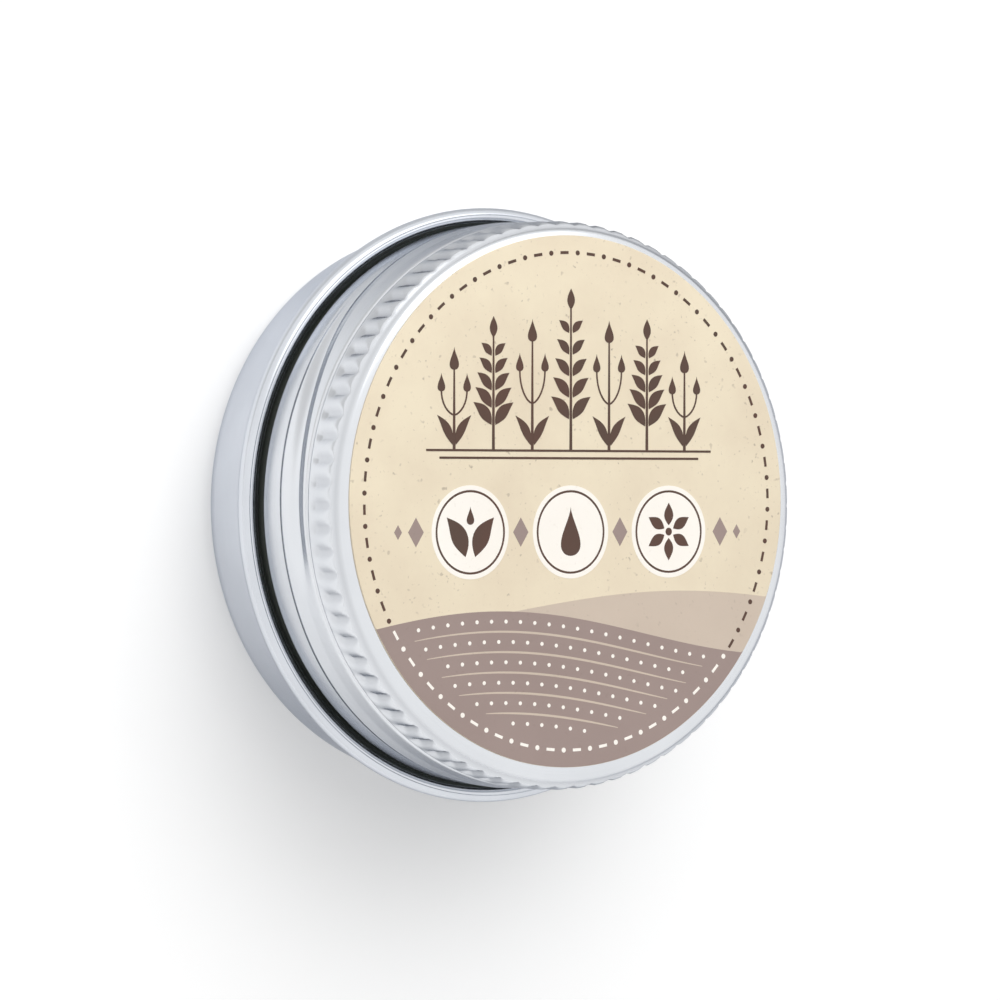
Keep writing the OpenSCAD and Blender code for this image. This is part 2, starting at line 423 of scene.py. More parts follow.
def base_path():
    """Middle line of the base's sheet: straight lines and arcs from the bottom's middle to the lip's curl."""
    half = BASE_SHEET / 2
    bead = np.array([tin_r - BEAD, BODY_HEIGHT - BEAD])
    bead_mid = BEAD - half
    slope = np.radians(UNDER_BEAD_SLOPE)
    lean = np.radians(WALL_LEAN)
    reach = UNDER_BEAD_BEND + bead_mid
    under = bead + [
        reach * np.sin(slope) - UNDER_BEAD_RUN * np.cos(slope),
        -reach * np.cos(slope) - UNDER_BEAD_RUN * np.sin(slope),
    ]
    wall_top = polar(under, UNDER_BEAD_BEND, 180 - WALL_LEAN)
    corner_mid = FOOT_CORNER - half
    wall_foot_z = FOOT_CORNER - corner_mid * np.sin(lean)
    wall_foot_r = wall_top[0] - (wall_top[1] - wall_foot_z) * np.tan(lean)
    corner = [wall_foot_r - corner_mid * np.cos(lean), FOOT_CORNER]
    panel_drop = PANEL_RECESS - 2 * PANEL_BEND * (1 - np.cos(np.pi / 4))
    ring = [corner[0] - FOOT_RING, half + PANEL_BEND]
    panel = [ring[0] - 2 * PANEL_BEND * np.sin(np.pi / 4) - panel_drop, PANEL_RECESS + half - PANEL_BEND]
    neck_mid = neck_r - half
    inner = np.radians(BEAD_INNER_SLOPE)
    bead_end = polar(bead, bead_mid, 90 + BEAD_INNER_SLOPE)
    run = bead_end[0] - neck_mid - NECK_BEND * (1 + np.sin(inner))
    neck_bend = [neck_mid + NECK_BEND, bead_end[1] - run * np.tan(inner) + NECK_BEND * np.cos(inner)]
    run_end = polar(neck_bend, NECK_BEND, 270 + BEAD_INNER_SLOPE)
    lip = [neck_r - LIP_CURL, lip_z - LIP_CURL]
    return joined([
        straight([0, PANEL_RECESS + half], [panel[0], PANEL_RECESS + half], 4),
        bend(panel, PANEL_BEND, 90, 45, 5),
        bend(ring, PANEL_BEND, 225, 270, 5),
        bend(corner, corner_mid, -90, -WALL_LEAN, 18),
        straight([wall_foot_r, wall_foot_z], wall_top, 8),
        bend(under, UNDER_BEAD_BEND, 180 - WALL_LEAN, 90 + UNDER_BEAD_SLOPE, 6),
        bend(bead, bead_mid, UNDER_BEAD_SLOPE - 90, BEAD_FINE[0], 16),
        bend(bead, bead_mid, *BEAD_FINE, 16),
        bend(bead, bead_mid, BEAD_FINE[1], 90 + BEAD_INNER_SLOPE, 6),
        straight(bead_end, run_end, 4),
        bend(neck_bend, NECK_BEND, 270 + BEAD_INNER_SLOPE, 180, 10),
        straight([neck_mid, neck_bend[1]], [neck_mid, lip[1]], 44),
        bend(lip, LIP_CURL - half, 0, LIP_TURN, 20),
    ])


def both_sides(path, half, outside):
    """Points on both sides of a sheet's middle line: the outer side, then the inner side run backwards.

    The path is moved along its normals by half the sheet. The inner side keeps every second point,
    with its first and last. Also given: the outer points that belong to each point of the outline.
    """
    normal = left_of(path) * outside
    outer = path + normal * half
    inner = path - normal * half
    outer[0, 0] = inner[0, 0] = 0
    kept = np.unique(np.concatenate([np.arange(0, len(path), 2), [len(path) - 1]]))[::-1]
    return np.vstack([outer, inner[kept]]), np.vstack([outer, outer[kept]])


def lid_shell(material):
    """The lid: its sheet's outline, pressed towards the axis by flutes, thread and the edge's crease.

    The sheet's inner side follows flutes and thread, but not the crease. A point's hollow value grows
    with the depth of flute and crease there, up to 1, and sets how much shade is painted there.
    """
    pitch = 2 * np.pi / FLUTES
    in_pitch = np.append(-pitch / 2, np.linspace(-1, 1, 7) * FLUTE_WIDTH / lid_r)
    angles = (np.arange(FLUTES)[:, None] * pitch + in_pitch).ravel()
    outline, outer = both_sides(lid_path(), LID_SHEET / 2, 1)
    r, z = outer[:, :1], outer[:, 1:]
    in_curl = z < hem_z + HEM_CURL
    crease_z = lid_top - LID_EDGE * (1 - np.sin(np.radians(EDGE_CREASE_TURN)))
    outside = (outline == outer).all(axis=1)[:, None]
    crease = EDGE_CREASE * hump(z - crease_z, EDGE_CREASE_WIDTH) * outside
    flutes = flute_press(angles, r, z) * (r > flat_r)
    pressed = flutes + crease * (r > flat_r) + thread_relief(angles, z) * ~in_curl
    hollow = np.clip(HOLLOW_SPREAD * flutes / FLUTE_DEPTH + crease / EDGE_CREASE, 0, 1) * outside
    radius = outline[:, :1] - pressed * (outline[:, :1] > 0)
    below_grip = int(np.argmax(outline[:, 1] < lid_top - GRIP_END - 0.01))
    return turned("knurled_lid", radius, outline[:, 1:], angles, material, "lid",
                  "lid_shell", fine_rows=below_grip, hollow=hollow)


def base_tin(material):
    """The base: its sheet's outline, with a fine crease along the bead and the thread's ridge on the neck."""
    angles = np.linspace(0, 2 * np.pi, 360, endpoint=False)
    outline, outer = both_sides(base_path(), BASE_SHEET / 2, -1)
    r, z = outer[:, :1], outer[:, 1:]
    on_bead = (z > BODY_HEIGHT - BEAD) & (r > neck_r + NECK_BEND)
    crease = BEAD_CREASE * hump(r - (tin_r - BEAD_CREASE_IN), BEAD_CREASE_WIDTH) * on_bead
    on_neck = (z > BODY_HEIGHT + NECK_BEND) & (r > neck_r - 0.5 * LIP_CURL)
    ridge = 0
    for lap in (0, 1):
        turns = angles / (2 * np.pi) + lap
        fade = eased(turns / NECK_RIDGE_FADE) * eased((NECK_RIDGE_TURNS - turns) / NECK_RIDGE_FADE)
        ridge = ridge + fade * hump(z - NECK_RIDGE_START - NECK_RIDGE_LEAD * turns, NECK_RIDGE_WIDTH)
    radius = outline[:, :1] + NECK_RIDGE * ridge * on_neck
    height = outline[:, 1:] - crease
    return turned("beaded_base", radius, height, angles, material, "base", "base_tin")


def foam_liner(material):
    """The liner: a flat disc whose upper edge follows the lid's bend, with a ring pressed in by the lip."""
    angles = np.linspace(0, 2 * np.pi, 180, endpoint=False)
    liner_r = liner_high[0]
    low, high = liner_low[2], liner_high[2]
    edge_r = high - (lid_top - LID_EDGE)
    turn = np.degrees(np.arccos((liner_r - flat_r) / edge_r))
    under = straight([0, low], [liner_r - LINER_ROUND, low], 150)
    under[:, 1] += LIP_MARK * hump(under[:, 0] - (neck_r - LIP_CURL), LIP_MARK_WIDTH)
    outline = joined([
        under,
        straight([liner_r, low + LINER_ROUND], [liner_r, low + LINER_WALL], 3),
        bend([flat_r, lid_top - LID_EDGE], edge_r, turn, 90, 8),
        straight([flat_r, high], [0, high], 3),
    ])
    return turned("foam_liner", outline[:, :1], outline[:, 1:], angles, material, "liner",
                  "lid_liner")


def balm(material):
    """The balm: it follows the cup, and its top is a shallow dish with a rim and slow ripples from pouring.

    The dish is a parabola. The ripples are a cosine of the distance from the middle plus a share of
    the turn, so that they run out in a spiral, and they die out at the rim.
    """
    angles = np.linspace(0, 2 * np.pi, 180, endpoint=False)
    cup = base_path()
    inside = cup + left_of(cup) * (BASE_SHEET / 2 + BALM_GAP)
    inside[0, 0] = 0
    rim_r = neck_r - BASE_SHEET - BALM_GAP
    rim = bend([rim_r - BALM_RIM, balm_top - BALM_RIM], BALM_RIM, 0, 90, 5)
    wall = np.vstack([inside[inside[:, 1] < balm_top - 2 * BALM_RIM], rim])
    r = np.linspace(rim_r - BALM_RIM, 0, 60)[1:, None]
    share = r / rim_r
    dish = balm_top - BALM_DIP * (1 - share ** 2)
    ripple = BALM_RIPPLE * np.cos(r * BALM_RIPPLE_TURN + 2 * angles)
    ripple = ripple * eased((1 - share) * 4) * eased(share * 3)
    radius = np.vstack([wall[:, :1], r])
    height = np.vstack([np.broadcast_to(wall[:, 1:], (len(wall), len(angles))), dish + ripple])
    return turned("poured_balm", radius, height, angles, material, "base", "sunscreen_balm")


def paper_label(material):
    """The label: a thin disc of paper with its upper edge rounded by the die that cut it."""
    angles = np.linspace(0, 2 * np.pi, 360, endpoint=False)
    outline = joined([
        straight([0, label_low[2]], [label_r, label_low[2]], 2),
        bend([label_r - PAPER_ROUND, paper_top - PAPER_ROUND], PAPER_ROUND, 0, 90, 4),
        straight([label_r - PAPER_ROUND, paper_top], [0, paper_top], 2),
    ])
    return turned("paper_label", outline[:, :1], outline[:, 1:], angles, material, "lid",
                  "lid_label", centre=label_middle[:2])


def printed(name, strips, material):
    """Ink on the paper: each strip lies between two edges, given in shares of the label's radius.

    A strip is (edge, other edge, layer). Its top is that many ink layers above the paper, and its
    bottom is in the paper, so that it is a closed slab. Edges that meet in a point are merged.
    """
    points, faces, first = [], [], 0
    for edge, other, layer in strips:
        n = len(edge)
        flat = np.vstack([edge, other]) * label_r + label_middle[:2]
        top = np.full((2 * n, 1), paper_top + layer * INK)
        under = np.full((2 * n, 1), paper_top - INK_ROOT)
        points.append(np.hstack([flat, top]))
        points.append(np.hstack([flat, under]))
        a = np.arange(n - 1)[:, None] + first
        faces.append(a + [0, 1, n + 1, n])
        faces.append(a + [2 * n, 3 * n, 3 * n + 1, 2 * n + 1])
        faces.append(a + [0, 2 * n, 2 * n + 1, 1])
        faces.append(a + [n, n + 1, 3 * n + 1, 3 * n])
        faces.append(np.array([[0, n, 3 * n, 2 * n], [n - 1, 3 * n - 1, 4 * n - 1, 2 * n - 1]]) + first)
        first += 4 * n
    piece = place_mesh(name, np.vstack(points), np.vstack(faces).tolist(), material, "lid")
    work = bmesh.new()
    work.from_mesh(piece.data)
    bmesh.ops.remove_doubles(work, verts=work.verts, dist=1e-7)
    bmesh.ops.dissolve_degenerate(work, edges=work.edges, dist=1e-7)
    bmesh.ops.recalc_face_normals(work, faces=work.faces)
    work.to_mesh(piece.data)
    work.free()
    return piece


def disc_shape(middle, radius, layer):
    """A disc between its lower and its upper half circle."""
    a = np.linspace(-np.pi, 0, 33 if radius > SMALL_DISC else 13)
    edge = np.column_stack([np.cos(a), np.sin(a)]) * radius
    return edge + middle, edge * [1, -1] + middle, layer


def line_shape(path, half_width, layer):
    """A line of ink: its path moved to either side by half its width."""
    side = left_of(path) * np.reshape(half_width, (-1, 1))
    return path - side, path + side, layer


def leaf_shape(root, turn, length, width, layer, bow=0.08):
    """A leaf: a bowed line whose half width is sin(pi s) times (1.25 - 0.5 s), fullest before its middle."""
    s = np.linspace(0, 1, 15)
    a = np.radians(turn)
    ahead = np.array([np.cos(a), np.sin(a)])
    upper = np.array([-np.sin(a), np.cos(a)]) * np.sign(np.cos(a))
    path = np.asarray(root) + np.outer(s * length, ahead) + np.outer(bow * length * np.sin(np.pi * s), upper)
    return line_shape(path, width / 2 * np.sin(np.pi * s) * (1.25 - 0.5 * s), layer)


def drop_shape(middle, size, layer):
    """A drop: a circle whose width shrinks to a point at its top, by a power of sin(a/2)."""
    a = np.linspace(0, np.pi, 25)
    half = np.sin(a) * np.sin(a / 2) ** 2.2
    edge = np.column_stack([-half * size * 0.78, np.cos(a) * size])
    return edge + middle, edge * [-1, 1] + middle, layer


def diamond_shape(middle, width, height, layer):
    """A diamond between its two lower and its two upper sides."""
    edge = np.array([[-width, 0], [0, -height], [width, 0]]) / 2
    return edge + middle, edge * [1, -1] + middle, layer


def field_shape(crest, layer):
    """A field of ink from the label's lower edge up to a crest, which is a height for each place across."""
    x = print_r * np.sin(np.linspace(-np.pi / 2, np.pi / 2, 181))
    rim = -np.sqrt(np.maximum(print_r ** 2 - x ** 2, 0))
    top = np.clip(crest(x), rim, -rim)
    return np.column_stack([x, rim]), np.column_stack([x, top]), layer


def near_hill(x):
    """Crest of the near hill: one broad swell with its top left of the middle."""
    return -0.50 + 0.09 * np.cos(2.3 * (x + 0.34))


def far_hill(x):
    """Crest of the far hill: a swell that rises to the right."""
    return -0.41 + 0.07 * np.cos(2.1 * (x - 0.5))


def on_circle(radius, turn):
    """The point of a circle round the label's middle at a turn in degrees."""
    return polar((0, 0), radius, turn)


def arc_line(radius, start, end, half_width, layer, middle=(0, 0)):
    """A line along a circle, in steps of about 6 degrees, or in four where it is short."""
    steps = max(4, int(abs(end - start) / 6))
    return line_shape(bend(middle, radius, start, end, steps), half_width, layer)


def furrow_lines():
    """Pale furrows, each the near hill's crest moved down, thinning out at both ends."""
    strips = []
    for furrow in range(1, 7):
        x = np.linspace(-print_r, print_r, 181)
        y = near_hill(x) - FURROW_STEP * furrow
        inside = np.hypot(x, y) < BORDER_R - 0.05
        if inside.sum() > 8:
            path = np.column_stack([x, y])[inside]
            taper = np.sin(np.linspace(0.05, np.pi - 0.05, len(path))) ** 0.4
            strips.append(line_shape(path, HAIRLINE * taper, FURROWS))
    return strips


def seed_dots():
    """Cream dots in rows between the furrows, each row set off by half a step from the one above."""
    strips = []
    for row in range(1, 7):
        for place in range(-15, 16):
            x = (place + 0.5 * (row % 2)) * SEED_STEP
            y = near_hill(x) - FURROW_STEP * (row - 0.5)
            if np.hypot(x, y) < BORDER_R - 0.06:
                strips.append(disc_shape([x, y], SEED, DISCS))
    return strips


def border_strips(on_field):
    """Beads and short bars in turn along the rim: those on the near hill, or else those on the paper."""
    strips = []
    for step in range(BORDER_COUNT):
        turn = 360 * (step + 0.5) / BORDER_COUNT
        x, y = on_circle(BORDER_R, turn)
        room = near_hill(x) - y
        if abs(room) < BORDER_BEAD or (room > 0) != on_field:
            continue
        layer = DISCS if on_field else RINGS
        if step % 2:
            strips.append(disc_shape([x, y], BORDER_BEAD, layer))
        else:
            strips.append(arc_line(BORDER_R, turn - BORDER_BAR, turn + BORDER_BAR, BORDER_LINE, layer))
    return strips


def pale_strips():
    """The far hill, and the furrows of the near one."""
    return [field_shape(far_hill, FAR_HILL)] + furrow_lines()


def mauve_strips():
    """The near hill, and diamonds between and beside the cream discs."""
    strips = [field_shape(near_hill, NEAR_HILL)]
    for side in (-1, 1):
        strips.append(diamond_shape([side * SIGN_STEP / 2, SIGN_HEIGHT], 0.07, 0.11, FURROWS))
        strips.append(diamond_shape([side * 0.705, SIGN_HEIGHT], 0.07, 0.11, FURROWS))
        strips.append(diamond_shape([side * 0.785, SIGN_HEIGHT], 0.035, 0.055, FURROWS))
    return strips


def cream_strips():
    """The three discs, the seed dots and the border's part on the near hill."""
    return [disc_shape(middle, SIGN_DISC, DISCS) for middle in SIGNS] + seed_dots() + border_strips(True)


def stem(x, tip):
    """A stem that tapers to its tip."""
    return line_shape(straight([x, STEM_FOOT], [x, tip], 6), np.linspace(*STEM_TAPER, 7), RINGS)


def sprig(x, height):
    """A sprig: a tapered stem with five pairs of leaves that get smaller upwards, and one leaf at its tip."""
    foot, tip = STEM_FOOT, STEM_FOOT + height
    strips = [stem(x, tip)]
    for pair in range(5):
        root = foot + height * (0.22 + 0.15 * pair)
        length = 0.118 - 0.013 * pair
        for side, turn in ((1, 46), (-1, 134)):
            strips.append(leaf_shape([x + side * 0.009, root], turn, length, 0.046 - 0.004 * pair, LEAVES))
    strips.append(leaf_shape([x, tip - 0.01], 90, 0.08, 0.034, BUDS, bow=0))
    return strips


def bud_stem(x, height):
    """A stem with two leaves at its foot and three buds: one on top and one on each of two bowed branches."""
    foot, tip = STEM_FOOT, STEM_FOOT + height
    strips = [stem(x, tip)]
    for side, turn in ((1, 58), (-1, 122)):
        strips.append(leaf_shape([x + side * 0.008, foot + 0.02], turn, 0.13, 0.036, LEAVES))
        share = np.linspace(0, 1, 9)
        out = 0.058 * np.sin(share * np.pi / 2)
        rise = foot + height * 0.42 + height * 0.3 * share ** 1.6
        branch = np.column_stack([x + side * out, rise])
        strips.append(line_shape(branch, 0.0035, BRANCHES))
        strips.append(drop_shape(branch[-1] + [0, 0.028], 0.034, BUDS))
    strips.append(drop_shape([x, tip + 0.03], 0.042, BUDS))
    return strips


def meadow_strips():
    """Sprigs and bud stems in turn, on a thin double line."""
    strips = []
    for step, height in enumerate(STEM_HEIGHTS):
        x = (step - 3) * STEM_STEP
        strips += bud_stem(x, height) if step % 2 == 0 else sprig(x, height)
    for drop, reach in ((0, 0.66), (0.028, 0.60)):
        ends = [[-reach, STEM_FOOT - drop], [reach, STEM_FOOT - drop]]
        strips.append(line_shape(straight(*ends, 4), HAIRLINE, BRANCHES))
    return strips


def sign_strips():
    """A plain sign in a ring on each disc: two leaves under a bud, a drop, and a flower of six petals."""
    left, middle, right = SIGNS
    strips = [drop_shape(left + [0, 0.062], 0.034, LEAVES), drop_shape(middle + [0, 0.002], 0.092, LEAVES)]
    for side, turn in ((1, 60), (-1, 120)):
        strips.append(leaf_shape(left + [side * 0.022, -0.092], turn, 0.17, 0.072, LEAVES))
    for petal in range(6):
        turn = 30 + petal * 60
        strips.append(leaf_shape(right + on_circle(0.024, turn), turn, 0.086, 0.042, LEAVES, bow=0))
    strips.append(disc_shape(right, 0.015, LEAVES))
    for centre in SIGNS:
        strips.append(arc_line(SIGN_DISC - 0.022, 0, 360, HAIRLINE, RINGS, centre))
    return strips


def tone(red, green, blue):
    """A colour given from 0 to 255 as it looks on a screen, made linear."""
    c = np.array([red, green, blue]) / 255
    linear = np.where(c <= 0.04045, c / 12.92, ((c + 0.055) / 1.055) ** 2.4)
    return (*linear.tolist(), 1.0)


def add_node(tree, kind, settings=None, **inputs):
    """Adds a node, sets its options, and fills its inputs with values or links."""
    node = tree.nodes.new(kind)
    for name, value in (settings or {}).items():
        setattr(node, name, value)
    for name, value in inputs.items():
        by_number = name[0] == "i" and name[1:].isdigit()
        socket = node.inputs[int(name[1:]) if by_number else name.replace("_", " ")]
        if isinstance(value, bpy.types.NodeSocket):
            tree.links.new(value, socket)
        else:
            socket.default_value = value
    return node


def maths(tree, operation, *values):
    """A Math node's output for one to three values or sockets."""
    inputs = {f"i{k}": v for k, v in enumerate(values)}
    return add_node(tree, "ShaderNodeMath", {"operation": operation}, **inputs).outputs[0]


def spread(tree, value, low, high, new_low, new_high):
    """Maps a value from one range to another and clips it."""
    node = add_node(tree, "ShaderNodeMapRange", i0=value, i1=low, i2=high, i3=new_low, i4=new_high)
    return node.outputs[0]


def between(tree, share, first, second):
    """Mixes two values by a share."""
    return add_node(tree, "ShaderNodeMix", i0=share, i2=first, i3=second).outputs[0]


def mixed(tree, share, first, second):
    """Mixes two colours by a share."""
    node = add_node(tree, "ShaderNodeMix", {"data_type": "RGBA"}, i0=share, i6=first, i7=second)
    return node.outputs[2]


def noise(tree, vector, scale, detail=2.0, roughness=0.5, w=None):
    """A noise texture's value. With w it has four dimensions."""
    inputs = {"Vector": vector, "Scale": scale, "Detail": detail, "Roughness": roughness}
    settings = {}
    if w is not None:
        settings["noise_dimensions"] = "4D"
        inputs["W"] = w
    return add_node(tree, "ShaderNodeTexNoise", settings, **inputs).outputs[0]


def new_group(name, inputs, outputs):
    """An empty node group with named sockets. Gives the tree, its input sockets and its output node."""
    tree = bpy.data.node_groups.new(name, "ShaderNodeTree")
    kinds = {"colour": "NodeSocketColor", "value": "NodeSocketFloat"}
    for label, kind, start in inputs:
        socket = tree.interface.new_socket(label, in_out="INPUT", socket_type=kinds[kind])
        socket.default_value = start
    for label, kind in outputs:
        tree.interface.new_socket(label, in_out="OUTPUT", socket_type=kinds[kind])
    entry = tree.nodes.new("NodeGroupInput")
    leave = tree.nodes.new("NodeGroupOutput")
    return tree, entry.outputs, leave.inputs


def on_object(tree):
    """The place on the object, in metres."""
    return add_node(tree, "ShaderNodeTexCoord").outputs["Object"]


def stretched(tree, place, x, y, z):
    """A place with each of its axes multiplied."""
    node = add_node(tree, "ShaderNodeVectorMath", {"operation": "MULTIPLY"}, i0=place, i1=(x, y, z))
    return node.outputs[0]


def off_axis(tree, place):
    """A place's distance from the tin's axis."""
    flat = stretched(tree, place, 1, 1, 0)
    return add_node(tree, "ShaderNodeVectorMath", {"operation": "LENGTH"}, i0=flat).outputs["Value"]


def spun_metal_group():
    """Spun and rolled aluminium: lines round the axis, a soft cloud of tone, fine grain and a few hairlines.

    The lines are noise in four dimensions: the height and the distance from the axis are stretched far
    more than the way round, so that the noise runs in rings on walls and on flat faces alike.
    """
    tree, given, out = new_group(
        "spun_metal",
        [("Bright", "colour", (0.8, 0.8, 0.8, 1)), ("Dull", "colour", (0.7, 0.7, 0.7, 1)),
         ("Smooth", "value", 0.3), ("Rough", "value", 0.4), ("Lines", "value", 1.0)],
        [("Color", "colour"), ("Roughness", "value"), ("Height", "value")])
    place = on_object(tree)
    lines = noise(tree, stretched(tree, place, 60, 60, 9000), 1.0, 3.0, 0.6,
                  w=maths(tree, "MULTIPLY", off_axis(tree, place), 9000.0))
    cloud = noise(tree, place, 170.0, 3.0, 0.55)
    grain = noise(tree, place, 9000.0, 2.0, 0.5)
    scratched = noise(tree, stretched(tree, place, 700, 2500, 5200), 1.0, 4.0, 0.7)
    hairs = spread(tree, scratched, 0.66, 0.72, 0.0, 1.0)
    shade = maths(tree, "ADD", maths(tree, "MULTIPLY", cloud, 0.7), maths(tree, "MULTIPLY", lines, 0.3))
    colour = mixed(tree, spread(tree, shade, 0.35, 0.65, 0.0, 1.0), given["Bright"], given["Dull"])
    rough = spread(tree, shade, 0.3, 0.7, given["Smooth"], given["Rough"])
    height = maths(tree, "MULTIPLY", lines, given["Lines"])
    height = maths(tree, "ADD", height, maths(tree, "MULTIPLY", grain, 0.5))
    height = maths(tree, "SUBTRACT", height, maths(tree, "MULTIPLY", hairs, 0.4))
    tree.links.new(colour, out["Color"])
    tree.links.new(maths(tree, "SUBTRACT", rough, maths(tree, "MULTIPLY", hairs, 0.06)), out["Roughness"])
    tree.links.new(height, out["Height"])
    return tree


def paper_group():
    """Uncoated paper: soft blotches of tone, pale fibres, and faint specks of two sizes, with a slight tooth.

    A speck is a place where fine noise rises over a limit. A slower noise makes each one fainter or
    darker, and leaves stretches with none.
    """
    tree, given, out = new_group(
        "paper_fibre",
        [("Ground", "colour", (0.8, 0.7, 0.5, 1)), ("Blotch", "colour", (0.7, 0.6, 0.5, 1)),
         ("Speck", "colour", (0.5, 0.45, 0.4, 1)), ("Speck Strength", "value", 1.0)],
        [("Color", "colour"), ("Height", "value")])
    place = on_object(tree)
    blotch = spread(tree, noise(tree, place, 120.0, 5.0, 0.62), 0.36, 0.68, 0.0, 1.0)
    colour = mixed(tree, blotch, given["Ground"], given["Blotch"])
    fade = spread(tree, noise(tree, stretched(tree, place, 1, 1, 3), 700.0, 1.0), 0.35, 0.65, 0.1, 1.0)
    for scale, limit, strength in ((2100.0, 0.665, 0.75), (4200.0, 0.67, 0.5)):
        speck = spread(tree, noise(tree, place, scale, 1.5, 0.6), limit, limit + 0.07, 0.0, strength)
        weight = maths(tree, "MULTIPLY", speck, fade)
        colour = mixed(tree, maths(tree, "MULTIPLY", weight, given["Speck Strength"]), colour, given["Speck"])
    fibre = noise(tree, stretched(tree, place, 900, 3200, 900), 1.0, 4.0, 0.65)
    tooth = maths(tree, "MULTIPLY", noise(tree, place, 5000.0), 0.5)
    tree.links.new(colour, out["Color"])
    tree.links.new(maths(tree, "ADD", fibre, tooth), out["Height"])
    return tree


def new_material(name):
    """A material with its Principled BSDF. Gives the material, its tree and the shader."""
    material = bpy.data.materials.new(name)
    material.use_nodes = True
    return material, material.node_tree, material.node_tree.nodes["Principled BSDF"]


def give_bump(tree, shader, height, distance):
    """Feeds a height, of the given depth in metres, to the shader's normal."""
    bump = add_node(tree, "ShaderNodeBump", Strength=1.0, Distance=distance, Height=height)
    tree.links.new(bump.outputs[0], shader.inputs["Normal"])


def painted_crevice_shade(tree):
    """1 in the valley between bead and neck, where shade is painted into the metal, and 0 round it.

    It fades out at a ragged height, and towards the bead's top.
    """
    place = on_object(tree)
    z = add_node(tree, "ShaderNodeSeparateXYZ", Vector=place).outputs["Z"]
    ragged = maths(tree, "MULTIPLY_ADD", noise(tree, place, 900.0, 3.0), CREVICE_RAGGED * MM, z)
    under = spread(tree, ragged, CREVICE_TOP * MM, (CREVICE_TOP + CREVICE_TOP_FADE) * MM, 1.0, 0.0)
    over = spread(tree, z, CREVICE_FLOOR[0] * MM, CREVICE_FLOOR[1] * MM, 0.0, 1.0)
    inside = spread(tree, off_axis(tree, place), (CREVICE_R - CREVICE_FADE) * MM, CREVICE_R * MM, 1.0, 0.0)
    return maths(tree, "MULTIPLY", maths(tree, "MULTIPLY", under, over), inside)


def aluminium(name, group, bright, dull, edge, smooth, rough, lines, depth):
    """Satin aluminium: the spun metal group in a metal shader, greyer where it is seen at a low angle."""
    material, tree, shader = new_material(name)
    spun = add_node(tree, "ShaderNodeGroup", {"node_tree": group}, Bright=bright, Dull=dull,
                    Smooth=smooth, Rough=rough, Lines=lines)
    tree.links.new(spun.outputs["Color"], shader.inputs["Base Color"])
    tree.links.new(spun.outputs["Roughness"], shader.inputs["Roughness"])
    shader.inputs["Metallic"].default_value = 1.0
    shader.inputs["Specular Tint"].default_value = edge
    give_bump(tree, shader, spun.outputs["Height"], depth)
    return material


def paint_crevice_shade(material):
    """Paints shade into a metal's colour in the crevice, and roughens the metal there."""
    tree = material.node_tree
    shader = tree.nodes["Principled BSDF"]
    share = painted_crevice_shade(tree)
    for socket, dark, mix in (("Base Color", CREVICE_SHADE_TONE, mixed), ("Roughness", CREVICE_ROUGHNESS, between)):
        clean = shader.inputs[socket].links[0].from_socket
        tree.links.new(mix(tree, share, clean, dark), shader.inputs[socket])


def paint_hollow_shade(material):
    """Paints shade into a metal's colour in the pressed flutes and along the crease of the edge, as much as
    the hollow value.
    """
    tree = material.node_tree
    colour = tree.nodes["Principled BSDF"].inputs["Base Color"]
    hollow = add_node(tree, "ShaderNodeAttribute", {"attribute_name": "hollow"}).outputs["Fac"]
    share = maths(tree, "MULTIPLY", hollow, HOLLOW_SHADE)
    tree.links.new(mixed(tree, share, colour.links[0].from_socket, HOLLOW_SHADE_TONE), colour)


def on_paper(name, group, ground, blotch, speck, speck_strength, roughness, depth):
    """Paper, or ink that has sunk into it: the paper group in a matt shader."""
    material, tree, shader = new_material(name)
    fibre = add_node(tree, "ShaderNodeGroup", {"node_tree": group}, Ground=ground, Blotch=blotch,
                     Speck=speck, Speck_Strength=speck_strength)
    tree.links.new(fibre.outputs["Color"], shader.inputs["Base Color"])
    shader.inputs["Roughness"].default_value = roughness
    shader.inputs["Specular IOR Level"].default_value = 0.35
    give_bump(tree, shader, fibre.outputs["Height"], depth)
    return material


def foam_material():
    """Closed-cell foam: small round cells, paler on their walls, with a soft grain."""
    material, tree, shader = new_material("closed_cell_foam")
    place = on_object(tree)
    cells = add_node(tree, "ShaderNodeTexVoronoi", Vector=place, Scale=4200.0).outputs["Distance"]
    cloud = noise(tree, place, 300.0, 3.0)
    share = maths(tree, "ADD", maths(tree, "MULTIPLY", cells, 0.5), maths(tree, "MULTIPLY", cloud, 0.5))
    colour = mixed(tree, spread(tree, share, 0.2, 0.7, 0.0, 1.0), tone(232, 231, 226), tone(246, 246, 243))
    tree.links.new(colour, shader.inputs["Base Color"])
    shader.inputs["Roughness"].default_value = 0.75
    give_bump(tree, shader, cells, 0.00003)
    return material


def balm_material():
    """Tinted balm: waxy, with a faint bloom, mineral flecks and a satin skin."""
    material, tree, shader = new_material("tinted_balm")
    place = on_object(tree)
    swirl = noise(tree, place, 130.0, 4.0, 0.6)
    fleck = spread(tree, noise(tree, place, 2600.0, 2.0), 0.66, 0.74, 0.0, 0.5)
    colour = mixed(tree, spread(tree, swirl, 0.35, 0.65, 0.0, 1.0), tone(213, 176, 146), tone(196, 156, 126))
    tree.links.new(mixed(tree, fleck, colour, tone(236, 214, 192)), shader.inputs["Base Color"])
    tree.links.new(spread(tree, swirl, 0.3, 0.7, 0.34, 0.5), shader.inputs["Roughness"])
    shader.inputs["Subsurface Weight"].default_value = 0.15
    shader.inputs["Subsurface Radius"].default_value = (0.0012, 0.0007, 0.0004)
    shader.inputs["Subsurface Scale"].default_value = 1.0
    give_bump(tree, shader, noise(tree, place, 900.0, 3.0), 0.00004)
    return material


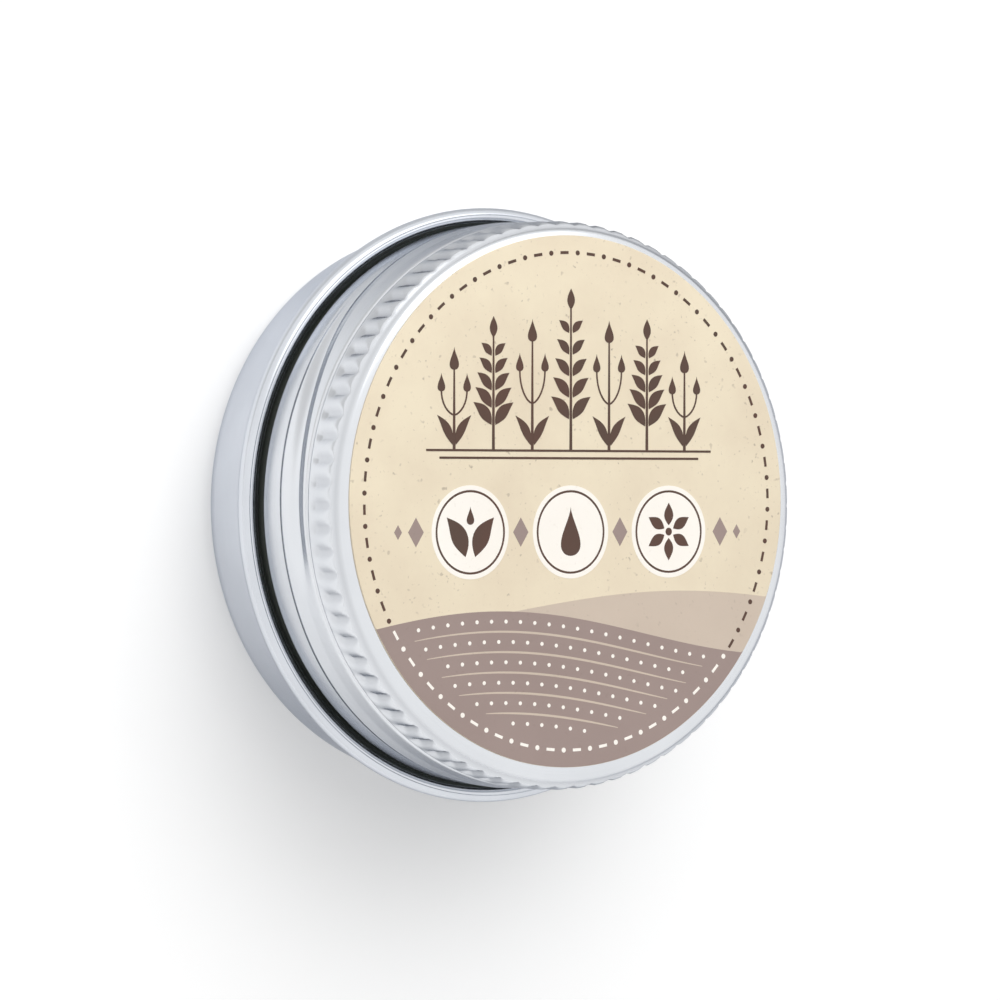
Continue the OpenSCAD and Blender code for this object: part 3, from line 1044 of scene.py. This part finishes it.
def make_camera():
    """The camera, with its axes worked out from the two view angles: the picture's upright is the tin's Y."""
    turn, tilt = np.radians(LOOK_TURN), np.radians(LOOK_TILT)
    axis = np.array([np.sin(turn) * np.cos(tilt), np.sin(tilt), -np.cos(turn) * np.cos(tilt)])
    label_up = np.array([0.0, -1.0, 0.0]) + axis * axis[1]
    label_up /= np.linalg.norm(label_up)
    label_right = -np.cross(axis, label_up)
    to_picture = np.array([label_right, label_up, axis]) * [1, -1, -1]
    camera = bpy.data.cameras.new("camera")
    camera.lens = LENS
    camera.sensor_width = SENSOR
    camera.clip_start = 0.01
    camera.clip_end = 20.0
    holder = new_object("camera", camera)
    placed = Matrix(to_picture.tolist()).to_4x4()
    placed.translation = Vector((-CAMERA_LEFT, CAMERA_UP, CAMERA_OUT + lid_top)) * MM
    holder.matrix_world = placed
    bpy.context.scene.camera = holder


def soft_lamp(name, place, size, strength):
    """An oblong area lamp that faces the tin. Its strength is the brightness that a mirror would show."""
    lamp = bpy.data.lights.new(name, "AREA")
    lamp.shape = "RECTANGLE"
    lamp.size, lamp.size_y = size
    lamp.energy = strength * size[0] * size[1] * np.pi
    holder = new_object(name, lamp)
    holder.location = place
    holder.rotation_euler = (-Vector(place)).to_track_quat("-Z", "Y").to_euler()


def seen_in_picture(tree):
    """1 for what the camera sees, directly, mirrored or through a clear piece, and 0 for light on things."""
    path = add_node(tree, "ShaderNodeLightPath").outputs
    seen = maths(tree, "MAXIMUM", path["Is Glossy Ray"], path["Is Transmission Ray"])
    return maths(tree, "MAXIMUM", path["Is Camera Ray"], seen)


def make_world():
    """A plain white surround, which metal mirrors, and a soft sky that lights the tin.

    The sky rises evenly towards the label's left, and has a wide soft window towards its top.
    """
    world = bpy.data.worlds.new("studio")
    bpy.context.scene.world = world
    world.use_nodes = True
    tree = world.node_tree
    tree.nodes.clear()
    way = add_node(tree, "ShaderNodeTexCoord").outputs["Generated"]
    parts = add_node(tree, "ShaderNodeSeparateXYZ", Vector=way).outputs
    sky = maths(tree, "MAXIMUM", maths(tree, "MULTIPLY_ADD", parts["X"], -SKY_TO_LEFT, SKY), SKY_LEAST)
    towards = add_node(tree, "ShaderNodeVectorMath", {"operation": "DOT_PRODUCT"}, i0=way, i1=WINDOW)
    window = spread(tree, towards.outputs["Value"], WINDOW_EDGE, 1.0, 0.0, WINDOW_LIGHT)
    sky = maths(tree, "ADD", sky, window)
    strength = between(tree, seen_in_picture(tree), sky, 1.0)
    ground = add_node(tree, "ShaderNodeBackground", Color=(1, 1, 1, 1), Strength=strength)
    out = add_node(tree, "ShaderNodeOutputWorld")
    tree.links.new(ground.outputs[0], out.inputs["Surface"])


def make_floor():
    """A pale floor that the tin stands on. It keeps the tin's shadow, and is open from below.

    A little glow, where it is seen, makes it white round the shadow. In metal the glow fades out
    towards the label's top.
    """
    material, tree, shader = new_material("pale_floor")
    shader.inputs["Base Color"].default_value = FLOOR_TONE
    shader.inputs["Roughness"].default_value = 0.9
    shader.inputs["Specular IOR Level"].default_value = 0.0
    place = on_object(tree)
    y = add_node(tree, "ShaderNodeSeparateXYZ", Vector=place).outputs["Y"]
    glowing = spread(tree, y, GLOW_NEAR * MM, GLOW_FAR * MM, 1.0, 0.0)
    mirrored = maths(tree, "MULTIPLY", seen_in_picture(tree), glowing)
    direct = add_node(tree, "ShaderNodeLightPath").outputs["Is Camera Ray"]
    seen = maths(tree, "MAXIMUM", direct, mirrored)
    glow = add_node(tree, "ShaderNodeEmission", Strength=maths(tree, "MULTIPLY", seen, FLOOR_GLOW))
    both = add_node(tree, "ShaderNodeAddShader", i0=shader.outputs[0], i1=glow.outputs[0])
    clear = add_node(tree, "ShaderNodeBsdfTransparent")
    behind = add_node(tree, "ShaderNodeNewGeometry").outputs["Backfacing"]
    sided = add_node(tree, "ShaderNodeMixShader", i0=behind, i1=both.outputs[0], i2=clear.outputs[0])
    tree.links.new(sided.outputs[0], tree.nodes["Material Output"].inputs["Surface"])
    corners = np.array([[-1, -1, 0], [1, -1, 0], [1, 1, 0], [-1, 1, 0]]) * FLOOR_REACH
    mesh = bpy.data.meshes.new("floor")
    mesh.from_pydata(corners.tolist(), [], [(0, 1, 2, 3)])
    mesh.materials.append(material)
    new_object("floor", mesh)


make_camera()
make_world()
make_floor()
soft_lamp("back_softbox", LAMP_PLACE, LAMP_SIZE, LAMP_LIGHT)

metal = spun_metal_group()
fibre = paper_group()
lid_finish = aluminium("lid_satin_aluminium", metal, (0.775, 0.795, 0.825, 1), (0.725, 0.745, 0.775, 1),
                       (0.44, 0.46, 0.50, 1), 0.18, 0.26, 0.6, 0.0000012)
base_finish = aluminium("base_satin_aluminium", metal, (0.71, 0.735, 0.78, 1), (0.65, 0.675, 0.72, 1),
                        (0.62, 0.64, 0.68, 1), 0.16, 0.24, 0.8, 0.0000012)
kraft = on_paper("kraft_paper", fibre, tone(238, 225, 199), tone(229, 214, 189), tone(160, 145, 128),
                 0.75, 0.8, 0.000006)
pale_ink = on_paper("pale_ink", fibre, tone(208, 192, 176), tone(203, 187, 171), tone(160, 145, 132),
                    0.4, 0.7, 0.000004)
mauve_ink = on_paper("mauve_ink", fibre, tone(160, 142, 136), tone(156, 138, 132), tone(138, 121, 114),
                     0.35, 0.65, 0.000004)
cream_ink = on_paper("cream_ink", fibre, tone(254, 249, 241), tone(251, 245, 236), tone(226, 216, 203),
                     0.35, 0.7, 0.000004)
dark_ink = on_paper("dark_ink", fibre, tone(84, 66, 56), tone(92, 64, 54), tone(104, 82, 70),
                    0.3, 0.6, 0.000004)

# Painted shade in the base's crevice
paint_crevice_shade(base_finish)
# Painted shade in the lid's flutes and the crease of its edge
paint_hollow_shade(lid_finish)

base_tin(base_finish)
lid_shell(lid_finish)
foam_liner(foam_material())
balm(balm_material())
paper_label(kraft)
printed("print_pale", pale_strips(), pale_ink)
printed("print_mauve", mauve_strips(), mauve_ink)
printed("print_cream", cream_strips(), cream_ink)
printed("print_dark", border_strips(False) + meadow_strips() + sign_strips(), dark_ink)

bpy.context.scene.view_settings.view_transform = "Standard"
